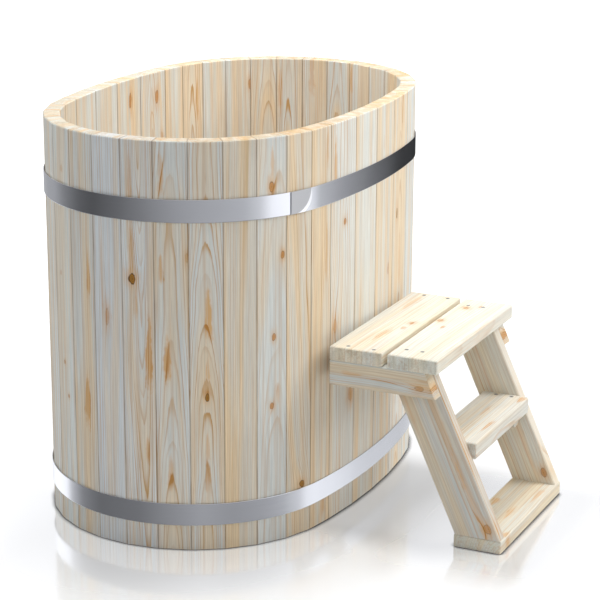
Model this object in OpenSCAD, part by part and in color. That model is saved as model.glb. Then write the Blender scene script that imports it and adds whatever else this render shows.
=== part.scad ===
// Oval coopered plunge tub of upright staves, with two steel hoops and a step ladder on one long side
// X runs across the tub and out through the ladder, Y runs along the tub, Z is up from the floor

/* [Tub] */
// Outside width across the two flat sides
tub_w = 776; // [740:2:840]
// Outside length over the two round ends
tub_l = 1184; // [1100:2:1300]
// Height of the staves
tub_h = 1000; // [900:5:1150]
// How much smaller the radius of the round ends is than half of the width
end_tuck = 18.5; // [10:0.5:40]
// Thickness of the staves
wall = 40; // [34:0.5:48]
// Wide staves in each quarter of the oval
wide_staves = 2; // [1:1:2]
// Width of a wide stave
wide_stave_w = 118; // [100:1:124]
// Narrow staves in each quarter of the oval
narrow_staves = 7; // [6:1:7]
// Gap left between two staves
stave_gap = 0.1; // [0.04:0.02:0.3]
// Bevel on the long edges of a stave
seam_ease = 1.3; // [0.5:0.1:3]
// Bevel on the ends of a stave
rim_ease = 2; // [0.5:0.5:5]

/* [Hoops] */
// Width of the steel band
hoop_w = 54.5; // [40:0.5:70]
// Thickness of the steel band
hoop_t = 1.8; // [1:0.1:3]
// Gap between a hoop and the corners of the staves
hoop_gap = 0.05; // [0.02:0.01:0.2]
// Height of the upper hoop's lower edge
upper_hoop_z = 810; // [700:1:830]
// Height of the lower hoop's lower edge
lower_hoop_z = 64; // [40:1:140]
// Length of the straight outer end of a hoop, which leaves the band at a tangent
lap_l = 46; // [30:1:60]
// Distance of the lap's visible edge round the oval from the middle of the flat side
lap_from_middle = 388; // [330:1:480]
// How far the lap's edges stay inside the band's edges
lap_ease = 0.4; // [0.2:0.1:2]

/* [Floor] */
// Height of the floor's underside
floor_lift = 62; // [50:1:90]
// Thickness of the floor boards
floor_t = 28; // [22:1:36]
// Number of floor boards
floor_boards = 5; // [4:1:5]
// Gap between two floor boards
floor_gap = 0.4; // [0.2:0.1:1]
// Depth of the groove in the staves that holds the floor
groove_d = 12; // [8:0.5:15]
// Clearance of the floor in its groove
groove_gap = 0.3; // [0.2:0.05:0.6]
// Width of the tongue on a floor board
tongue_w = 8; // [5:0.5:12]
// Thickness of the tongue on a floor board
tongue_t = 9; // [6:0.5:11]
// Width of a bearer under the floor
bearer_w = 60; // [40:1:90]
// Distance between the middles of the two bearers
bearer_pitch = 520; // [360:10:640]
// Gap between a bearer's end and the staves
bearer_end_gap = 6; // [2:1:20]

/* [Drain] */
// Outside diameter of the drain's spigot
drain_d = 40; // [34:1:44]
// How far the drain's threaded part stands out past the spigot
thread_step = 1; // [0.5:0.25:2]
// Wall of the drain's spigot
drain_wall = 4; // [2.5:0.5:6]
// Diameter of the drain's flange
drain_flange_d = 70; // [64:1:90]
// Thickness of the drain's flange
drain_flange_t = 3; // [2:0.5:5]
// Gap between the drain's thread and the floor board
drain_gap = 0.1; // [0.05:0.05:0.3]
// Length of the drain below the floor
drain_drop = 45; // [35:1:48]
// Width across the flats of the drain's nut
nut_w = 58; // [54:1:70]
// Height of the drain's nut
nut_h = 10; // [6:1:16]
// Gap all round the plug in the drain
plug_gap = 0.3; // [0.2:0.05:0.6]
// Depth of the plug in the drain
plug_depth = 20; // [12:1:30]
// Diameter of the plug's rim
plug_rim_d = 46; // [42:1:60]
// Thickness of the plug's rim
plug_rim_t = 5; // [3:0.5:8]
// Diameter of the plug's knob
knob_d = 18; // [12:1:26]
// Height of the plug's knob
knob_h = 16; // [10:1:26]

/* [Ladder] */
// Height of the platform's top
platform_h = 475; // [420:5:520]
// Length of the platform along the tub
ladder_l = 520; // [420:5:620]
// Distance of the ladder's middle from the middle of the tub
ladder_shift = -40; // [-80:2:80]
// Gap between the platform and the tub
platform_gap = 11; // [4:1:20]
// Depth of the inner platform board
inner_board_d = 136; // [120:1:160]
// Depth of the outer platform board
outer_board_d = 128; // [115:1:160]
// Gap between the two platform boards
board_gap = 14; // [6:1:22]
// Thickness of the platform boards
board_t = 35; // [28:0.5:42]
// Bevel on the edges of the ladder's boards
board_ease = 2.5; // [1:0.5:5]
// Thickness of a rail
rail_t = 38; // [30:0.5:44]
// Height of a rail
rail_h = 62; // [48:1:80]
// Thickness of a stringer
stringer_t = 33; // [28:0.5:40]
// Width of a stringer, square to its length
stringer_w = 105.5; // [90:0.5:120]
// Slope of a stringer from upright
stringer_slope = 24.7; // [18:0.1:30]
// Distance of a stringer's front, at its top, behind the platform's front edge
stringer_back = 31.5; // [22:0.5:45]
// How far a rail's sloping end stays behind the stringer's front
rail_back = 1; // [1:0.5:15]
// Height of the tread's top
tread_h = 259; // [230:1:290]
// Depth of the tread
tread_d = 122; // [100:1:140]
// Thickness of the tread
tread_t = 41; // [30:0.5:46]
// How far the tread's front stands out past the stringers
tread_nose = 25; // [10:0.5:40]
// Thickness of a cleat under the tread
cleat_t = 30; // [24:0.5:36]
// Height of a cleat
cleat_h = 36; // [28:1:50]
// Length of a cleat
cleat_l = 88; // [70:1:100]
// Thickness of the bottom board
bottom_t = 33; // [28:0.5:40]
// Depth of the bottom board
bottom_d = 121; // [110:1:150]
// How far the bottom board's front stands out past the stringers
bottom_nose = 3; // [0:0.5:12]
// Thickness of the ledger on the tub's wall
ledger_t = 30; // [24:0.5:36]
// Height of the ledger
ledger_h = 60; // [44:1:62]
// Gap between the ledger and the tub
ledger_gap = 0.2; // [0.1:0.05:0.5]

/* [Screws] */
// Length of a wood screw
screw_l = 60; // [50:1:60]
// Diameter of a wood screw
screw_d = 5; // [4:0.1:6]
// Diameter of a screw's countersunk head
screw_head_d = 10; // [8:0.1:12]
// Gap round a screw in its hole
screw_gap = 0.05; // [0.02:0.01:0.2]
// Distance of a screw from the edge of a board
screw_inset = 28; // [22:1:40]
// Distance of the inner platform board's screws from its edge at the wall
screw_inset_wall = 42; // [32:1:60]
// Distance between the two outer screws of the ledger on each side of the middle
ledger_screw_pitch = 50; // [30:1:60]

/* [Hidden] */
$fn = 96;
// Short flats of a hoop across one stave
BAND_STEPS = 4;
// Room by which a cutting shape runs past what it cuts
PAST = 1;

// Half width and half length of the oval
half_w = tub_w / 2;
half_l = tub_l / 2;
// Radii and centres of the oval's two kinds of arc
end_r = half_w - end_tuck;
end_c = half_l - end_r;
side_r = (pow(half_w, 2) + pow(end_c, 2) - pow(end_r, 2)) / (2 * end_tuck);
side_c = side_r - half_w;
// Half angle of a side arc, and lengths of the arcs in one quarter
side_a = atan2(end_c, side_c);
side_arc = side_r * side_a * PI / 180;
end_arc = end_r * (90 - side_a) * PI / 180;
quarter_arc = side_arc + end_arc;
// Staves in one quarter and in the whole tub
quarter_staves = wide_staves + narrow_staves;
stave_count = 4 * quarter_staves;
narrow_stave_w = (quarter_arc - wide_staves * wide_stave_w) / narrow_staves;

// Point of the first quarter at a length round the oval from the middle of the flat side, moved out by off
function oval_point(s, off = 0) = s <= side_arc
    ? let (a = s / side_r * 180 / PI) [(side_r + off) * cos(a) - side_c, (side_r + off) * sin(a)]
    : let (a = side_a + (s - side_arc) / end_r * 180 / PI)
        [(end_r + off) * cos(a), end_c + (end_r + off) * sin(a)];

// Length round the oval at which the seam with number k of a quarter lies
function seam_at(k) = k <= wide_staves
    ? k * wide_stave_w
    : wide_staves * wide_stave_w + (k - wide_staves) * narrow_stave_w;

// Point of the oval a share of the way across stave i, moved out by off; staves count anticlockwise
function round_point(i, share = 0, off = 0) =
    let (n = (i + stave_count) % stave_count)
    let (q = floor(n / quarter_staves))
    let (k = n % quarter_staves)
    let (from = q % 2 == 0 ? k : quarter_staves - k)
    let (to = q % 2 == 0 ? k + 1 : from - 1)
    let (p = oval_point(seam_at(from) + share * (seam_at(to) - seam_at(from)), off))
    [(q == 0 || q == 3 ? 1 : -1) * p.x, (q < 2 ? 1 : -1) * p.y];
// Outer corner between staves i - 1 and i
function corner(i) = round_point(i);
// Smooth oval outline that touches every corner of the staves, moved out by off
function band_ring(off) = [for (i = [0 : stave_count - 1]) for (j = [0 : BAND_STEPS - 1])
    round_point(i, j / BAND_STEPS, off)];

function unit(v) = v / norm(v);
// Direction along the outer face of stave i, and its outward normal
function along(i) = unit(corner(i + 1) - corner(i));
function outward(i) = [along(i).y, -along(i).x];
// Outward direction of the mitred seam at corner i, and the cosine of its half angle
function seam_dir(i) = unit(outward(i - 1) + outward(i));
function seam_cos(i) = seam_dir(i) * outward(i);
// Corner i moved in from the outer face by a depth
function inset_corner(i, depth) = corner(i) - seam_dir(i) * depth / seam_cos(i);
function inset_ring(depth) = [for (i = [0 : stave_count - 1]) inset_corner(i, depth)];

// Plan of stave i: mitred sides, half a gap off each seam, and bevelled long edges
function stave_plan(i) =
    let (u = along(i))
    let (shift_a = u * stave_gap / 2 / seam_cos(i))
    let (shift_b = u * stave_gap / 2 / seam_cos(i + 1))
    let (out_a = corner(i) + shift_a)
    let (out_b = corner(i + 1) - shift_b)
    let (in_a = inset_corner(i, wall) + shift_a)
    let (in_b = inset_corner(i + 1, wall) - shift_b)
    let (da = seam_dir(i) * seam_ease)
    let (db = seam_dir(i + 1) * seam_ease)
    [out_a + u * seam_ease, out_b - u * seam_ease, out_b - db, in_b + db,
     in_b - u * seam_ease, in_a + u * seam_ease, in_a + da, out_a - da];

// Floor levels
floor_top = floor_lift + floor_t;
groove_low = floor_lift - groove_gap;
groove_high = floor_top + groove_gap;
// Side profile of a stave: depth from the outer face against height, with the floor's groove.
// Both faces run past the stave's plan, and the bevels run on at 45 degrees with them.
stave_profile = [[rim_ease, 0], [wall - rim_ease, 0], [wall + PAST, rim_ease + PAST], [wall + PAST, groove_low],
    [wall - groove_d, groove_low], [wall - groove_d, groove_high], [wall + PAST, groove_high],
    [wall + PAST, tub_h - rim_ease - PAST], [wall - rim_ease, tub_h],
    [rim_ease, tub_h], [-PAST, tub_h - rim_ease - PAST], [-PAST, rim_ease + PAST]];

// Floor board strips, across the width inside the groove
floor_inset = wall - groove_d + groove_gap;
floor_half_w = half_w - floor_inset;
floor_board_w = 2 * floor_half_w / floor_boards;

// Drain and plug
drain_bore_d = drain_d - 2 * drain_wall;
thread_d = drain_d + 2 * thread_step;
plug_d = drain_bore_d - 2 * plug_gap;

// Ladder stations along X, from the tub's middle
platform_x = half_w + platform_gap;
outer_board_x = platform_x + inner_board_d + board_gap;
platform_front = outer_board_x + outer_board_d;
board_low = platform_h - board_t;
rail_low = board_low - rail_h;
// Depth of a stringer along X, and its front face at a height
stringer_run = stringer_w / cos(stringer_slope);
stringer_top_front = platform_front - stringer_back;
function stringer_front(z) = stringer_top_front + (board_low - z) * tan(stringer_slope);
tread_front = stringer_front(tread_h) + tread_nose;
tread_low = tread_h - tread_t;
bottom_front = stringer_front(bottom_t) + bottom_nose;
// A cleat's front stays behind the stringer's front by as much as the tread stands out before it
cleat_front = tread_front - tread_nose;
// Ladder stations along Y, from the ladder's middle
rail_y = ladder_l / 2 - rail_t;
stringer_y = rail_y - stringer_t;

// Seats of the screws: a point on the head's face and the direction in which the screw runs
board_screws = [for (side = [-1, 1])
    each [
        [[platform_x + screw_inset_wall, side * (rail_y + rail_t / 2), platform_h], [0, 0, -1]],
        [[platform_x + inner_board_d - screw_inset, side * (rail_y + rail_t / 2), platform_h], [0, 0, -1]],
        [[outer_board_x + screw_inset, side * (stringer_y + stringer_t / 2), platform_h], [0, 0, -1]],
        [[stringer_top_front - screw_inset, side * (stringer_y + stringer_t / 2), platform_h], [0, 0, -1]]
    ]];
tread_screws = [for (side = [-1, 1])
    each [for (x = [cleat_front - cleat_l / 2 - screw_inset / 2, cleat_front - cleat_l / 2 + screw_inset])
        [[x, side * (stringer_y - cleat_t / 2), tread_h], [0, 0, -1]]]];
cleat_screws = [for (side = [-1, 1])
    each [for (x = [cleat_front - cleat_l + screw_inset / 2, cleat_front - cleat_l / 2 + screw_inset / 4])
        [[x, side * (stringer_y - cleat_t), tread_low - cleat_h / 2], [0, side, 0]]]];
rail_screws = [for (side = [-1, 1])
    each [for (x = [stringer_top_front - stringer_run + 2 * screw_inset, stringer_top_front - screw_inset / 2])
        [[x, side * stringer_y, board_low - rail_h / 2], [0, side, 0]]]];
bottom_screws = [for (side = [-1, 1])
    each [for (x = [bottom_front - bottom_d + screw_inset, bottom_front - bottom_nose - 1.5 * screw_inset])
        [[x, side * (stringer_y + stringer_t / 2), 0], [0, 0, 1]]]];
ledger_x = half_w + ledger_gap;
// The ledger's screws lie on both sides of the middle seam of the wall, two in each stave
ledger_screws = [for (side = [-1, 1])
    each [for (k = [-1, 1])
        [[ledger_x + ledger_t, side * wide_stave_w / 2 + k * ledger_screw_pitch / 2 - ladder_shift,
          board_low - ledger_h / 2], [-1, 0, 0]]]];
all_screws = concat(board_screws, tread_screws, cleat_screws, rail_screws, bottom_screws, ledger_screws);

// The part's origin is the middle of its outside box at the floor
x_high = bottom_front;
x_low = -(half_w + hoop_gap + hoop_t);
origin_x = (x_high + x_low) / 2;

function two_digits(n) = str(n < 10 ? "0" : "", n);
function stave_name(i) = str("stave_", two_digits(i + 1));
function floor_name(k) = str("floor_board_", k + 1);
STAVES = [for (i = [0 : stave_count - 1]) stave_name(i)];
FLOOR = [for (k = [0 : floor_boards - 1]) floor_name(k)];

// Places

module at_origin() {
    translate([-origin_x, 0, 0]) children();
}

module at_ladder() {
    translate([-origin_x, ladder_shift, 0]) children();
}

// Shapes that repeat

// Rectangle with cut corners
module eased_rectangle(a, b, ease) {
    polygon([[ease, 0], [a - ease, 0], [a, ease], [a, b - ease], [a - ease, b], [ease, b], [0, b - ease], [0, ease]]);
}

// Board with all twelve edges bevelled
module board(size, ease) {
    intersection() {
        linear_extrude(size.z) eased_rectangle(size.x, size.y, ease);
        translate([0, size.y, 0]) rotate([90, 0, 0]) linear_extrude(size.y) eased_rectangle(size.x, size.z, ease);
        rotate([90, 0, 90]) linear_extrude(size.x) eased_rectangle(size.y, size.z, ease);
    }
}

// Steel band round the staves at a height, with its outer end lying straight over its inner end
module hoop(z) {
    difference() {
        union() {
            translate([0, 0, z]) linear_extrude(hoop_w) polygon(band_ring(hoop_gap + hoop_t));
            lap(z);
        }
        translate([0, 0, z - PAST]) linear_extrude(hoop_w + 2 * PAST) polygon(band_ring(hoop_gap));
    }
}

// Straight outer end of a band, with its visible edge nearer the tub's end
module lap(z) {
    out_r = end_r + hoop_gap + hoop_t;
    edge_a = side_a + (lap_from_middle - side_arc) / end_r * 180 / PI;
    depth = wall / 2;
    translate([0, end_c, z + lap_ease]) rotate([0, 0, edge_a - atan2(lap_l, out_r)])
        translate([out_r - depth, 0, 0]) cube([depth, lap_l, hoop_w - 2 * lap_ease]);
}

// Countersunk wood screw at its seat; grow widens it into the cut for its hole
module screw(seat, grow = 0) {
    d = seat[1];
    translate(seat[0])
        rotate(d.z < 0 ? [180, 0, 0] : d.z > 0 ? [0, 0, 0] : d.x < 0 ? [0, -90, 0] : [-90 * d.y, 0, 0]) {
            head_h = (screw_head_d - screw_d) / 2;
            translate([0, 0, -grow]) cylinder(d = screw_d + 2 * grow, h = screw_l + 2 * grow, $fn = 32);
            translate([0, 0, -grow])
                cylinder(d1 = screw_head_d + 4 * grow, d2 = screw_d + 2 * grow, h = head_h + grow, $fn = 32);
        }
}

module screw_holes(seats) {
    for (seat = seats) screw(seat, screw_gap);
}

// Stretch of a stringer's slope: drawn from its front face back by a depth along X
module sloping_block(front, depth, t, ease) {
    long = 2 * platform_h;
    square_depth = depth * cos(stringer_slope);
    translate([front, 0, board_low]) rotate([0, -stringer_slope, 0])
        translate([-square_depth, 0, -long / 2])
            linear_extrude(long) eased_rectangle(square_depth, t, ease);
}

// Tub

module stave(i) {
    turn = atan2(along(i).y, along(i).x);
    at_origin() color("wheat") difference() {
        intersection() {
            translate([0, 0, -PAST]) linear_extrude(tub_h + 2 * PAST) polygon(stave_plan(i));
            translate([corner(i).x, corner(i).y, 0]) rotate([0, 0, turn])
                translate([-wall, 0, 0]) rotate([90, 0, 90])
                    linear_extrude(norm(corner(i + 1) - corner(i)) + 2 * wall) polygon(stave_profile);
        }
        translate([0, ladder_shift, 0])
            for (seat = ledger_screws)
                if (i == (seat[0].y + ladder_shift > 0 ? 0 : stave_count - 1)) screw(seat, screw_gap);
    }
}

module upper_hoop() {
    at_origin() color("silver") mirror([0, 1, 0]) hoop(upper_hoop_z);
}

module lower_hoop() {
    at_origin() color("silver") mirror([1, 0, 0]) hoop(lower_hoop_z);
}

// Floor board k runs along the tub, with a tongue on one side and a groove on the other
module floor_board(k) {
    low = -floor_half_w + k * floor_board_w + floor_gap / 2;
    high = -floor_half_w + (k + 1) * floor_board_w - floor_gap / 2;
    tongue_z = floor_lift + (floor_t - tongue_t) / 2;
    at_origin() color("tan") difference() {
        intersection() {
            translate([0, 0, floor_lift]) linear_extrude(floor_t) polygon(inset_ring(floor_inset));
            union() {
                translate([low, -half_l, floor_lift]) cube([high - low, tub_l, floor_t]);
                if (k < floor_boards - 1)
                    translate([high - PAST, -half_l, tongue_z + floor_gap / 2])
                        cube([tongue_w + PAST, tub_l, tongue_t - floor_gap]);
            }
        }
        if (k > 0)
            translate([low - PAST, -half_l, tongue_z])
                cube([tongue_w + floor_gap + PAST, tub_l, tongue_t]);
        drain_hole();
    }
}

// Hole and shallow seat for the drain in the floor
module drain_hole() {
    translate([0, 0, floor_lift - PAST]) cylinder(d = thread_d + 2 * drain_gap, h = floor_t + 2 * PAST);
    translate([0, 0, floor_top - drain_flange_t])
        cylinder(d = drain_flange_d + 2 * drain_gap, h = drain_flange_t + PAST);
}

// Bearer across the tub under the floor, shaped to the wall at its ends
module bearer(side) {
    at_origin() color("tan") intersection() {
        linear_extrude(floor_lift) polygon(inset_ring(wall + bearer_end_gap));
        translate([-half_w, side * bearer_pitch / 2 - bearer_w / 2, 0]) cube([tub_w, bearer_w, floor_lift]);
    }
}

module drain_fitting() {
    tube_low = floor_lift - drain_drop;
    at_origin() color("silver") difference() {
        union() {
            translate([0, 0, tube_low]) cylinder(d = drain_d, h = drain_drop);
            translate([0, 0, floor_lift - nut_h]) cylinder(d = thread_d, h = nut_h + floor_t);
            translate([0, 0, floor_top - drain_flange_t]) cylinder(d = drain_flange_d, h = drain_flange_t);
        }
        translate([0, 0, tube_low - PAST]) cylinder(d = drain_bore_d, h = floor_top - tube_low + 2 * PAST);
    }
}

module drain_nut() {
    at_origin() color("gray") translate([0, 0, floor_lift - nut_h]) difference() {
        cylinder(d = nut_w / cos(30), h = nut_h, $fn = 6);
        translate([0, 0, -PAST]) cylinder(d = thread_d + 2 * drain_gap, h = nut_h + 2 * PAST);
    }
}

module drain_plug() {
    seat = floor_top + plug_gap;
    at_origin() color("dimgray") {
        translate([0, 0, floor_top - plug_depth]) cylinder(d = plug_d, h = seat - floor_top + plug_depth);
        translate([0, 0, seat]) cylinder(d = plug_rim_d, h = plug_rim_t);
        translate([0, 0, seat + plug_rim_t]) cylinder(d1 = knob_d * 0.7, d2 = knob_d, h = knob_h / 2);
        translate([0, 0, seat + plug_rim_t + knob_h / 2]) cylinder(d = knob_d, h = knob_h / 2);
    }
}

// Ladder

module inner_platform_board() {
    at_ladder() color("cornsilk") difference() {
        translate([platform_x, -ladder_l / 2, board_low]) board([inner_board_d, ladder_l, board_t], board_ease);
        screw_holes(board_screws);
    }
}

module outer_platform_board() {
    at_ladder() color("cornsilk") difference() {
        translate([outer_board_x, -ladder_l / 2, board_low]) board([outer_board_d, ladder_l, board_t], board_ease);
        screw_holes(board_screws);
    }
}

// Rail under the ends of the boards; its front end slopes as the stringer does
module rail(side) {
    front = stringer_top_front - rail_back;
    at_ladder() color("burlywood") mirror([0, side < 0 ? 1 : 0, 0]) difference() {
        intersection() {
            translate([platform_x, rail_y, rail_low])
                board([platform_front - platform_x + rail_h, rail_t, rail_h], board_ease);
            translate([0, rail_y, 0]) sloping_block(front, 2 * (front - platform_x), rail_t, board_ease / 2);
        }
        mirror([0, side < 0 ? 1 : 0, 0]) screw_holes(concat(board_screws, rail_screws));
    }
}

module stringer(side) {
    at_ladder() color("burlywood") mirror([0, side < 0 ? 1 : 0, 0]) difference() {
        intersection() {
            translate([0, stringer_y, 0])
                sloping_block(stringer_top_front, stringer_run, stringer_t, board_ease);
            translate([platform_x, stringer_y - PAST, bottom_t])
                cube([bottom_front - platform_x + PAST, stringer_t + 2 * PAST, board_low - bottom_t]);
        }
        mirror([0, side < 0 ? 1 : 0, 0])
            screw_holes(concat(board_screws, rail_screws, cleat_screws, bottom_screws));
    }
}

module middle_tread() {
    at_ladder() color("wheat") difference() {
        translate([tread_front - tread_d, -stringer_y, tread_low])
            board([tread_d, 2 * stringer_y, tread_t], board_ease);
        screw_holes(tread_screws);
    }
}

// Cleat on the inside of a stringer under the tread
module cleat(side) {
    at_ladder() color("burlywood") difference() {
        translate([cleat_front - cleat_l, side > 0 ? stringer_y - cleat_t : -stringer_y, tread_low - cleat_h])
            board([cleat_l, cleat_t, cleat_h], board_ease / 2);
        screw_holes(concat(tread_screws, cleat_screws));
    }
}

module bottom_board() {
    at_ladder() color("wheat") difference() {
        translate([bottom_front - bottom_d, -rail_y, 0]) board([bottom_d, 2 * rail_y, bottom_t], board_ease);
        screw_holes(bottom_screws);
    }
}

// Ledger on the tub's wall, between the rails and under the inner board
module wall_ledger() {
    at_ladder() color("burlywood") difference() {
        translate([ledger_x, -rail_y, board_low - ledger_h]) board([ledger_t, 2 * rail_y, ledger_h], board_ease / 2);
        screw_holes(ledger_screws);
    }
}

module wood_screws() {
    at_ladder() color("dimgray") for (seat = all_screws) screw(seat);
}

for (i = [0 : stave_count - 1]) stave(i);
for (k = [0 : floor_boards - 1]) floor_board(k);
upper_hoop();
lower_hoop();
bearer(-1);  // left_bearer
bearer(1);  // right_bearer
drain_fitting();
drain_nut();
drain_plug();
inner_platform_board();
outer_platform_board();
rail(-1);  // left_rail
rail(1);  // right_rail
stringer(-1);  // left_stringer
stringer(1);  // right_stringer
middle_tread();
cleat(-1);  // left_cleat
cleat(1);  // right_cleat
bottom_board();
wall_ledger();
wood_screws();
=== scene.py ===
"""Looks of an oval wooden plunge tub with two steel hoops and a step ladder."""
import math
import bpy
import bmesh
from mathutils import Matrix, Vector

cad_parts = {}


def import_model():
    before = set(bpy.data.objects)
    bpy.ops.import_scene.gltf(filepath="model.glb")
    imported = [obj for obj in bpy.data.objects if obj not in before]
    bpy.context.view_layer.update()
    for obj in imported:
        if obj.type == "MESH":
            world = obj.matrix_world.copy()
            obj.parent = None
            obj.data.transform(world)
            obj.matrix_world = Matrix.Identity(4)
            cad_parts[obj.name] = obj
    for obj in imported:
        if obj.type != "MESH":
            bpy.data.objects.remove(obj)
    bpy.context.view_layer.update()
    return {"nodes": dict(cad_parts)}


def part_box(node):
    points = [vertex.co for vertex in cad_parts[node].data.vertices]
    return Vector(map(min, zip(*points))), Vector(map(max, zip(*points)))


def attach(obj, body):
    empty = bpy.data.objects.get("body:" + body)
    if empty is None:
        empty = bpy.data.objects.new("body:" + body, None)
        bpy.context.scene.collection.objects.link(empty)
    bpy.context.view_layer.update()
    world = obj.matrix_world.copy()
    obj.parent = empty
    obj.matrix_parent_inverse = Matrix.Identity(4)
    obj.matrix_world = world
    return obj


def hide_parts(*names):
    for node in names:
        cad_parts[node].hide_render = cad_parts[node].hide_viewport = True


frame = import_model()
nodes = frame["nodes"]

# -----------------------------------------------------------------------------------------------
# The oval of staves, in millimetres about the tub's middle: tight end arcs and flat side arcs
# -----------------------------------------------------------------------------------------------
MM = 1000.0  # millimetres in a metre
ORIGIN_X = 222.9245  # X of the part's origin, which is under the middle of its outside box
HALF_W, HALF_L, END_TUCK = 388.0, 592.0, 18.5
END_R = HALF_W - END_TUCK
END_C = HALF_L - END_R
SIDE_R = (HALF_W ** 2 + END_C ** 2 - END_R ** 2) / (2 * END_TUCK)
SIDE_C = SIDE_R - HALF_W
SIDE_A = math.atan2(END_C, SIDE_C)
SIDE_ARC = SIDE_R * SIDE_A
END_ARC = END_R * (math.pi / 2 - SIDE_A)
QUARTER = SIDE_ARC + END_ARC
WIDE, WIDE_W, NARROW = 2, 118.0, 7
NARROW_W = (QUARTER - WIDE * WIDE_W) / NARROW
PER_QUARTER = WIDE + NARROW
STAVES = 4 * PER_QUARTER
TUB_H = 1000.0


def seam_at(k):
    """Length along a quarter of the oval from the flat side's middle to seam k."""
    return k * WIDE_W if k <= WIDE else WIDE * WIDE_W + (k - WIDE) * NARROW_W


def oval_point(s, off=0.0):
    """Point of the first quarter at a length from the flat side's middle, moved out by off."""
    if s <= SIDE_ARC:
        a = s / SIDE_R
        return Vector(((SIDE_R + off) * math.cos(a) - SIDE_C, (SIDE_R + off) * math.sin(a)))
    a = SIDE_A + (s - SIDE_ARC) / END_R
    return Vector(((END_R + off) * math.cos(a), END_C + (END_R + off) * math.sin(a)))


def signs(quarter):
    """Signs of X and Y in a quarter of the oval, counted from +X towards +Y."""
    return (1 if quarter in (0, 3) else -1), (1 if quarter < 2 else -1)


def corner(i):
    """Seam i on the outside of the shell."""
    q, k = divmod(i % STAVES, PER_QUARTER)
    p = oval_point(seam_at(k if q % 2 == 0 else PER_QUARTER - k))
    sx, sy = signs(q)
    return Vector((sx * p.x, sy * p.y))


def along(i):
    """Direction across the face of stave i, from its first seam to its second."""
    return (corner(i + 1) - corner(i)).normalized()


# -----------------------------------------------------------------------------------------------
# Node helpers
# -----------------------------------------------------------------------------------------------
class Graph:
    """Short ways to add nodes to a node tree."""

    def __init__(self, tree):
        self.tree = tree

    def add(self, kind, inputs=(), **settings):
        node = self.tree.nodes.new(kind)
        for name, value in settings.items():
            setattr(node, name, value)
        for key, value in dict(inputs).items():
            self.put(node.inputs[key], value)
        return node

    def put(self, socket, value):
        if isinstance(value, bpy.types.NodeSocket):
            self.tree.links.new(value, socket)
        else:
            socket.default_value = value

    def math(self, op, a, b=0.0, c=0.0, clamp=False):
        node = self.add("ShaderNodeMath", {0: a, 1: b, 2: c}, operation=op, use_clamp=clamp)
        return node.outputs[0]

    def plus(self, a, b, clamp=False):
        return self.math("ADD", a, b, clamp=clamp)

    def minus(self, a, b, clamp=False):
        return self.math("SUBTRACT", a, b, clamp=clamp)

    def mul(self, a, b, clamp=False):
        return self.math("MULTIPLY", a, b, clamp=clamp)

    def over(self, a, b):
        return self.math("DIVIDE", a, b)

    def mul_plus(self, a, b, c):
        return self.math("MULTIPLY_ADD", a, b, c)

    def power(self, a, b):
        return self.math("POWER", a, b)

    def length(self, a, b):
        return self.math("SQRT", self.plus(self.power(a, 2.0), self.power(b, 2.0)))

    def bell(self, a):
        return self.math("EXPONENT", self.mul(self.power(a, 2.0), -1.0))

    def ramp(self, value, low, high, to_low=0.0, to_high=1.0, kind="SMOOTHSTEP"):
        node = self.add("ShaderNodeMapRange", {0: value, 1: low, 2: high, 3: to_low, 4: to_high},
                        interpolation_type=kind, clamp=True)
        return node.outputs[0]

    def linear(self, value, low, high, to_low, to_high):
        return self.ramp(value, low, high, to_low, to_high, "LINEAR")

    def mix(self, factor, a, b, blend="MIX"):
        node = self.add("ShaderNodeMix", {0: factor, 6: a, 7: b}, data_type="RGBA",
                        blend_type=blend)
        return node.outputs[2]

    def noise(self, vector, w, scale=1.0, detail=2.0, rough=0.5):
        return self.add("ShaderNodeTexNoise", {"Vector": vector, "W": w, "Scale": scale,
                                               "Detail": detail, "Roughness": rough},
                        noise_dimensions="4D").outputs[0]

    def split(self, vector):
        return self.add("ShaderNodeSeparateXYZ", {0: vector}).outputs

    def join(self, x, y, z):
        return self.add("ShaderNodeCombineXYZ", {0: x, 1: y, 2: z}).outputs[0]

    def grey(self, value):
        return self.join(value, value, value)

    def stretch(self, vector, x, y, z):
        return self.add("ShaderNodeVectorMath", {0: vector, 1: (x, y, z)},
                        operation="MULTIPLY").outputs[0]

    def choose(self, factor, first, second):
        """One of two shaders, or a share of each."""
        return self.add("ShaderNodeMixShader", {0: factor, 1: first, 2: second}).outputs[0]


def group(name, inputs, outputs):
    tree = bpy.data.node_groups.new(name, "ShaderNodeTree")
    for label, kind in outputs:
        tree.interface.new_socket(name=label, in_out="OUTPUT", socket_type=kind)
    for label, kind in inputs:
        tree.interface.new_socket(name=label, in_out="INPUT", socket_type=kind)
    g = Graph(tree)
    return g, g.add("NodeGroupInput").outputs, g.add("NodeGroupOutput")


def new_material(name):
    mat = bpy.data.materials.new(name)
    mat.use_nodes = True
    mat.node_tree.nodes.clear()
    return mat, Graph(mat.node_tree)


# -----------------------------------------------------------------------------------------------
# Pine
# -----------------------------------------------------------------------------------------------
F, V, C = "NodeSocketFloat", "NodeSocketVector", "NodeSocketColor"

WHITE = (1.0, 1.0, 1.0, 1.0)
# Early wood where a board is cool or warm, and late wood
COOL = (0.752, 0.762, 0.722, 1.0)
WARM = (0.845, 0.682, 0.470, 1.0)
LATE = (0.590, 0.345, 0.135, 1.0)
# Early and late wood that a knot or a flame stains orange
STAINED = (0.720, 0.390, 0.110, 1.0)
STAINED_LATE = (0.540, 0.235, 0.050, 1.0)
RESIN = (0.45, 0.27, 0.13, 1.0)
JOINT = (0.29, 0.170, 0.085, 1.0)
# Heart and outline of a knot: a dead brown one, and a sound orange one
DEAD = ((0.420, 0.185, 0.026, 1.0), (0.095, 0.038, 0.007, 1.0))
SOUND = ((0.600, 0.270, 0.070, 1.0), (0.270, 0.105, 0.022, 1.0))
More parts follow.
